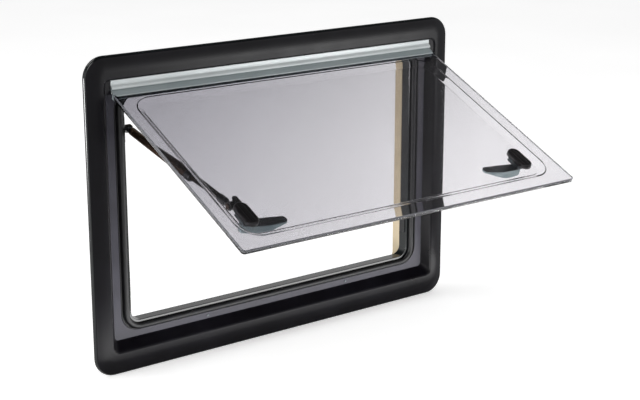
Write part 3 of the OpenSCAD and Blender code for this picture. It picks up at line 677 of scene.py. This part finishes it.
def trayLoop(inset, y):
    p = pane
    return roundedLoop(p["borderSide"] + inset - halfPane, halfPane - p["borderSide"] - inset,
                       p["borderBottom"] + inset - p["bottom"], -p["borderTop"] - inset,
                       p["trayRadius"] - inset, y, 8)


def shoulderRows(steps=18):
    # an S from the border to the tray's floor, as a sheet drawn by vacuum takes it, bent most at its two ends
    p, rows = pane, []
    for step in range(steps + 1):
        t = step / steps
        swing = 0.5 - 0.5 * math.cos(math.pi * t)
        rows.append((p["shoulder"] * (p["runBend"] * swing + (1 - p["runBend"]) * t),
                     p["trayDepth"] * (p["riseBend"] * swing + (1 - p["riseBend"]) * t)))
    return rows


def innerSheet():
    p = pane
    front, back = p["outerBack"] + 0.03, p["outerBack"] + p["innerThick"]
    outside = [(i, back + d) for i, d in shoulderRows()]
    inside = [(i + p["drawnThick"], front + d) for i, d in shoulderRows()]
    loops = [trayLoop(*row) for row in reversed(inside)]
    loops += [paneLoop(i, y, p["cornerRadius"] - i)
              for i, y in ((0.35, front), (0, front + 0.35), (0, back - 0.35), (0.35, back))]
    loops += [trayLoop(*row) for row in outside]
    return loft("innerSheet", loops, capped=True)


addPiece("outerSheet", outerSheet(), toPane, [clearSheet, sawnEdgePaintedShade, scrapedEdge], ["outer_sheet"])
addPiece("innerSheet", innerSheet(), toPane, [formedSheet], ["inner_sheet"])
print("pane made")


# Latches: pad in the cavity, post with two teeth, lever and pin. Drawn for the left side and mirrored.

latch = {"in": 39, "up": 57, "turns": {-1: 8, 1: -6},
         "padLength": 37, "padWidth": 17, "padEdge": 2.6, "grooveAt": 3.2, "grooveDepth": 0.45,
         "postHeight": 7, "postWidth": 10, "tooth": 13, "pinRadius": 3, "pinStart": 4.2,
         "bladeLength": 50, "bladeWidth": 12, "bladeThick": 10, "knee": 21, "kneeThick": 9, "tipThick": 2.5,
         "tipRadius": 4.8, "flare": 4.6, "lean": 1.2, "belly": 0.6}
backFace = pane["outerBack"] + pane["trayDepth"] + pane["innerThick"]
bladeFace = backFace + latch["postHeight"]


def latchPad():
    # rings of a stadium that close in on its middle line: a rounded edge, and a face with two grooves
    length, width = latch["padLength"], latch["padWidth"]
    low, high = pane["outerBack"] + 0.05, pane["outerBack"] + pane["trayDepth"] - 0.05
    straight, full, edge = (length - width) / 2, width / 2, latch["padEdge"]

    def ring(radius, y, grooved=False):
        points = []
        for step in range(48):
            a = 2 * math.pi * (step + 0.5) / 48
            x, z = radius * math.cos(a), radius * math.sin(a)
            deep = math.exp(-((abs(x) - latch["grooveAt"]) / 0.8) ** 2) if grooved else 0
            points.append((x, y + deep * latch["grooveDepth"], z + (straight if z > 0 else -straight)))
        return points

    rings = [ring(full, high), ring(full, low + edge)]
    rings += [ring(full - edge * (1 - math.cos(a)), low + edge * (1 - math.sin(a)))
              for a in (math.radians(t) for t in range(15, 91, 15))]
    rings += [ring(full - edge - step * 0.35, low, True) for step in range(1, 17)]
    return loft("latchPad", rings, capped=True)


def latchPost():
    step = (latch["postHeight"] - 2) / 2
    y, b, reach = backFace + 0.03, bladeFace, latch["tooth"]
    teeth = []
    for root in (b, b - step):
        teeth += [(root - 0.3, 6.6), (root - 0.6, reach - 1.3), (root - 1.2, reach - 0.2),
                  (root - 1.9, reach), (root - 2.3, reach - 0.8), (root - 2.4, 7.2)]
    outline = [(y, -6), (b, -7), (b, 5)] + teeth + [(y + 0.4, 5.6)]
    post = latch["postWidth"] / 2
    return runAlongX("latchPost", outline, -post, post)


def latchLever():
    # convex outlines round a row of discs, stacked from the flat face to the flared back
    l = latch
    tipRadius = l["tipRadius"]
    reach = l["bladeLength"] - tipRadius
    slope = (l["kneeThick"] - l["tipThick"]) / (reach - l["knee"])
    discs = []
    for part in (0, 0.12, 0.25, 0.4, 0.55, 0.7, 0.85, 1):
        swell = math.sin(math.pi * (0.1 + 0.82 * part))
        discs.append((part * reach, -l["lean"] * swell, -l["flare"] * swell,
                      tipRadius + (l["bladeWidth"] / 2 + l["belly"] - tipRadius) * swell))

    def outline(t, shrink):
        points = []
        for step in range(72):
            a = 2 * math.pi * step / 72
            dx, dz = math.cos(a), math.sin(a)
            best = max(discs, key=lambda d: d[0] * dx + (d[1] * (1 - t) + d[2] * t) * dz + d[3])
            x = best[0] + (best[3] - shrink) * dx
            z = best[1] * (1 - t) + best[2] * t + (best[3] - shrink) * dz
            thick = max(l["tipThick"], min(l["bladeThick"] - 0.05 * max(x, 0),
                                           l["kneeThick"] - slope * (x - l["knee"])))
            points.append((x, bladeFace + t * thick, z))
        return points

    rows = [(0, 0.9), (0.03, 0.35), (0.1, 0), (0.3, 0), (0.5, 0), (0.7, 0), (0.86, 0), (0.95, 0.4), (1, 1.2)]
    # the flared sides take the nylon painted paler as light from the floor
    strips = [0, 0] + [1] * 5 + [0]
    return loft("latchLever", [outline(t, s) for t, s in rows], capped=True, strips=strips)


def latchPin():
    r, end = latch["pinRadius"], bladeFace + latch["bladeThick"]
    return turned("latchPin", [(pane["outerBack"] + latch["pinStart"], r), (end + 0.02, r),
                               (end + 0.02, r + 1.6), (end + 0.8, r + 1.6), (end + 1.25, r + 1.1),
                               (end + 1.4, r * 0.5)])


for side, word in ((-1, "left"), (1, "right")):
    spot = toPane @ Matrix.Translation((side * (halfPane - latch["in"]), 0, latch["up"] - pane["bottom"]))
    place = spot @ Matrix.Scale(-side, 4, (1, 0, 0))
    turn = Matrix.Rotation(math.radians(latch["turns"][side]), 4, "Y")
    name = word.capitalize()
    addPiece("latchPad" + name, latchPad(), place, [padRubber], ["latch_pad_" + word])
    addPiece("latchPost" + name, latchPost(), place, [slateNylon], ["latch_post_" + word],
             0.35)
    addPiece("latchLever" + name, latchLever(), place @ turn, [slateNylon, paintedLitNylon],
             ["latch_lever_" + word])
    addPiece("latchPin" + name, latchPin(), place, [zincSteel], ["latch_pin_" + word], 0.2)
print("latches made")

catch = {"height": 30, "wall": 0.5, "ledge": 1.2, "ledgeThick": 1.7}
ledgeY = hinge["y"] + backFace + 0.8
catchZ = hinge["z"] + latch["up"] - pane["bottom"]


def catchPlate():
    jamb = window["width"] / 2 - window["sight"]
    backEnd = window["revealDepth"] - 0.5
    plan = [(-jamb, ledgeY), (-jamb + catch["ledge"], ledgeY),
            (-jamb + catch["ledge"], ledgeY + catch["ledgeThick"]),
            (-jamb + catch["wall"] + 0.4, ledgeY + catch["ledgeThick"]),
            (-jamb + catch["wall"], ledgeY + catch["ledgeThick"] + 0.4), (-jamb + catch["wall"], backEnd),
            (-jamb, backEnd)]
    low = catchZ - catch["height"] / 2
    return loft("catch", [[(x, y, z) for x, y in plan] for z in (low, low + catch["height"])], capped=True)


for side, word in ((-1, "left"), (1, "right")):
    addPiece("catch" + word.capitalize(), catchPlate(), toRow @ Matrix.Scale(-side, 4, (1, 0, 0)),
             [blackAcetal], ["catch_" + word], 0.2)
print("catches made")


# Stay: turned and moulded pieces between its two pivots

stay = {"in": 9, "back": 15.5, "drop": 53, "aboveLatch": 28, "tubeRadius": 4.8, "tubeWall": 0.9,
        "tubeStart": 9.2, "tubeShare": 0.59, "eyeRadius": 5, "eyeWidth": 6.4,
        "rodStartShare": 0.48, "rodShort": 11}
earY = backFace + stay["eyeRadius"] + 1
framePivot = Vector((stay["in"] + window["sight"] - window["width"] / 2, stay["back"],
                     hinge["z"] - stay["drop"]))
toPanePivot = toPane @ Matrix.Translation((latch["in"] - halfPane, earY,
                                           latch["up"] + stay["aboveLatch"] - pane["bottom"]))
along = toRow.inverted() @ toPanePivot.translation - framePivot
stayLength = along.length
toStay = (toRow @ Matrix.Translation(framePivot) @ Matrix.Rotation(math.atan2(along.z, along.y), 4, "X")
          @ Matrix.Rotation(-math.asin(along.x / stayLength), 4, "Z"))
tube = stay["tubeRadius"]
rod = tube - stay["tubeWall"] - 0.2
tubeLength = stay["tubeShare"] * stayLength
tubeStart = stay["tubeStart"]
tubeEnd = tubeStart + tubeLength


def stayEye(centre, towards, start, reach, radius):
    # a barrel across the stay and a neck that swells to the tube's or the rod's width
    r, w = stay["eyeRadius"], stay["eyeWidth"] / 2
    barrel = turned("eye", [(-w, r - 0.5), (-w + 0.4, r), (w - 0.4, r), (w, r - 0.5)], "X")
    barrel.transform(Matrix.Translation((0, centre, 0)))
    rows = [(0, w - 0.3), (start - 0.3, w - 0.3), (start + 0.6, radius - 0.5), (start + 1.6, radius),
            (reach - 1, radius), (reach, radius - 0.4)]
    return joined("eye", [barrel, turned("neck", [(centre + towards * d, r) for d, r in rows])])


addPiece("stayEye", stayEye(0, 1, start=5.8, reach=9, radius=tube - 0.3), toStay, [blackAcetal],
         ["stay_eye"], 0.15)
addPiece("stayTube", turned("stayTube", [
    (tubeStart, tube - 0.9), (tubeStart, tube - 0.3), (tubeStart + 0.4, tube), (14, tube),
    (14.4, tube - 0.35), (15.6, tube - 0.35), (16, tube), (tubeEnd - 0.4, tube), (tubeEnd, tube - 0.4)]),
    toStay, [lacqueredTubePaintedGlints], ["stay_tube"], 0.1)
addPiece("stayCollar", turned("stayCollar", [
    (tubeEnd - 6, tube + 0.1), (tubeEnd - 5.6, tube + 0.6), (tubeEnd - 4.8, tube + 0.8),
    (tubeEnd + 3, tube + 0.8), (tubeEnd + 4.4, tube + 0.3), (tubeEnd + 5, rod + 0.6),
    (tubeEnd + 5, rod + 0.1)]), toStay, [blackAcetal], ["stay_collar"])
addPiece("stayRod", turned("stayRod", [(stay["rodStartShare"] * tubeLength, rod),
                                       (stayLength - stay["rodShort"], rod)]), toStay, [burnishedRod],
         ["stay_rod"], 0.2)
addPiece("stayFork", stayEye(stayLength, -1, start=8, reach=22, radius=rod + 0.9), toStay, [blackAcetal],
         ["stay_fork"], 0.15)
bracket = {"gap": 0.6, "ear": 3, "foot": 6.5, "footLength": 16, "footThick": 1.8, "footRadius": 2.5}


def paneBracket():
    # a rounded ear on a short foot, drawn about the pivot in the pane's frame
    r, x0 = stay["eyeRadius"], stay["eyeWidth"] / 2 + bracket["gap"]
    low = backFace - earY + 0.03
    ear = arc(0, 0, r, 180, 0, 20) + [(r, low), (-r, low)]
    halfLength = bracket["footLength"] / 2
    foot = roundedLoop(x0, x0 + bracket["foot"], -halfLength, halfLength, bracket["footRadius"], 0, 6)
    plate = loft("foot", [[(x, y, z) for x, _, z in foot] for y in (low, low + bracket["footThick"])],
                 capped=True)
    side = loft("ear", [[(x, y, z) for z, y in ear] for x in (x0, x0 + bracket["ear"])], capped=True)
    return joined("bracket", [plate, side])


addPiece("stayPaneBracket", paneBracket(), toPanePivot, [blackAcetal], ["stay_pane_bracket"],
         0.3)
dressNode("stay_frame_bracket", blackAcetal)
dressNode("stay_frame_pin", zincSteel)
dressNode("stay_pane_pin", burnishedRod)
print("stay made")


# Stage, light and camera

stageLight = {
    "floorReach": 20, "floorLift": 0.45, "mirroredFloor": 0.3, "worldAmbient": 0.5, "ceiling": 0.05,
    "lamps": [
        # name, place, size, watts
        ("keySoftbox", (-1.5, -2.2, 2.2), 1.6, 26),
        ("lowFill", (0.9, -1.25, 0.12), 0.6, 13),
        ("topSoftbox", (-0.9, 0.7, 1.9), 1.1, 12),
        ("edgeStrip", (-1.3, 0.3, 0.08), 0.4, 16),
    ],
    "lampAim": (0, -0.05, 0.18),
    "card": {"place": (0.05, -0.105), "lift": 0.0025, "size": (0.64, 0.09), "watts": 1.4},
}


def floorMaterial():
    # pale floor: seen by the camera or through the pane it is lifted to white, and it keeps its shadows
    material, tree, shader, place = startMaterial("paleFloor", Roughness=0.9, Specular_IOR_Level=0.1)
    specks = addNode(tree, "ShaderNodeTexNoise", {"Scale": 1000 / 400, "Detail": 3}, {"Vector": place})
    addNode(tree, "ShaderNodeValToRGB", links={"Fac": specks}, into=shader.inputs["Base Color"],
            stops=[(0.3, "#f1f1f1"), (0.7, "#f6f6f6")])
    rays = addNode(tree, "ShaderNodeLightPath").outputs
    mirrored = addNode(tree, "ShaderNodeMath", {1: stageLight["mirroredFloor"]}, {0: rays["Is Glossy Ray"]},
                       operation="MULTIPLY")
    seen = addNode(tree, "ShaderNodeMath", links={0: rays["Is Camera Ray"], 1: mirrored}, operation="MAXIMUM")
    seen = addNode(tree, "ShaderNodeMath", links={0: seen, 1: rays["Is Transmission Ray"]},
                   operation="MAXIMUM")
    glow = addNode(tree, "ShaderNodeEmission", {"Strength": stageLight["floorLift"]})
    both = addNode(tree, "ShaderNodeAddShader", links={0: shader, 1: glow})
    addNode(tree, "ShaderNodeMixShader", links={"Fac": seen, 1: shader, 2: both},
            into=tree.nodes["Material Output"].inputs["Surface"])
    return material


floorMesh = bpy.data.meshes.new("floor")
floorZ, reach = cadBox[0][2], stageLight["floorReach"]
floorMesh.from_pydata([(reach * x, reach * y, floorZ) for x, y in ((-1, -1), (1, -1), (1, 1), (-1, 1))], [],
                      [(0, 1, 2, 3)])
floor = addObject("floor", floorMesh)
floorMesh.materials.append(floorMaterial())


def addLamp(name, place, size, depth, watts, rotation):
    data = bpy.data.lights.new(name, "AREA")
    data.shape, data.size, data.size_y, data.energy = "RECTANGLE", size, depth, watts
    lamp = addObject(name, data)
    lamp.location, lamp.rotation_euler = place, rotation
    lamp.visible_camera = lamp.visible_transmission = False


for name, place, size, watts in stageLight["lamps"]:
    towards = Vector(stageLight["lampAim"]) - Vector(place)
    addLamp(name, place, size, size, watts, towards.to_track_quat("-Z", "Y").to_euler())
# a lit card that lies on the floor and faces up: the bottom run's lip mirrors it
card = stageLight["card"]
addLamp("floorCard", (*card["place"], floorZ + card["lift"]), *card["size"], card["watts"], (math.pi, 0, 0))

# The world is white to the camera and through the pane. Mirrored, it is a white backdrop low down with a dark
# ceiling above it, which keeps the pane clear.
world = bpy.data.worlds.new("studio")
bpy.context.scene.world = world
world.use_nodes = True
tree = world.node_tree
rays = addNode(tree, "ShaderNodeLightPath").outputs
way = addNode(tree, "ShaderNodeTexCoord").outputs["Generated"]
up = addNode(tree, "ShaderNodeSeparateXYZ", links={"Vector": way}).outputs["Z"]
backdrop = addNode(tree, "ShaderNodeMapRange", {"From Min": 0.3, "From Max": 0.55, "To Min": 1.0,
                                                "To Max": stageLight["ceiling"]}, {"Value": up})
direct = addNode(tree, "ShaderNodeMath", links={0: rays["Is Camera Ray"], 1: rays["Is Transmission Ray"]},
                 operation="MAXIMUM")
ambient = addNode(tree, "ShaderNodeMapRange", {"To Min": stageLight["worldAmbient"], "To Max": 1.0},
                  {"Value": direct})
addNode(tree, "ShaderNodeMix", links={"Factor": rays["Is Glossy Ray"], "A": ambient, "B": backdrop},
        into=tree.nodes["Background"].inputs["Strength"])
tree.nodes["Background"].inputs["Color"].default_value = (1, 1, 1, 1)

view = {"sensor": 36, "lens": 78.92, "shiftY": -0.06, "clip": (0.05, 60),
        "place": (-0.9619, -1.3964, 0.6557), "forward": (0.5723, 0.7806, -0.2513)}
cameraData = bpy.data.cameras.new("camera")
cameraData.sensor_width, cameraData.lens, cameraData.shift_y = view["sensor"], view["lens"], view["shiftY"]
cameraData.clip_start, cameraData.clip_end = view["clip"]
camera = addObject("camera", cameraData)
camera.location = view["place"]
camera.rotation_euler = Vector(view["forward"]).to_track_quat("-Z", "Y").to_euler()
bpy.context.scene.camera = camera
bpy.context.scene.view_settings.view_transform = "Standard"
print("stage, light and camera set")
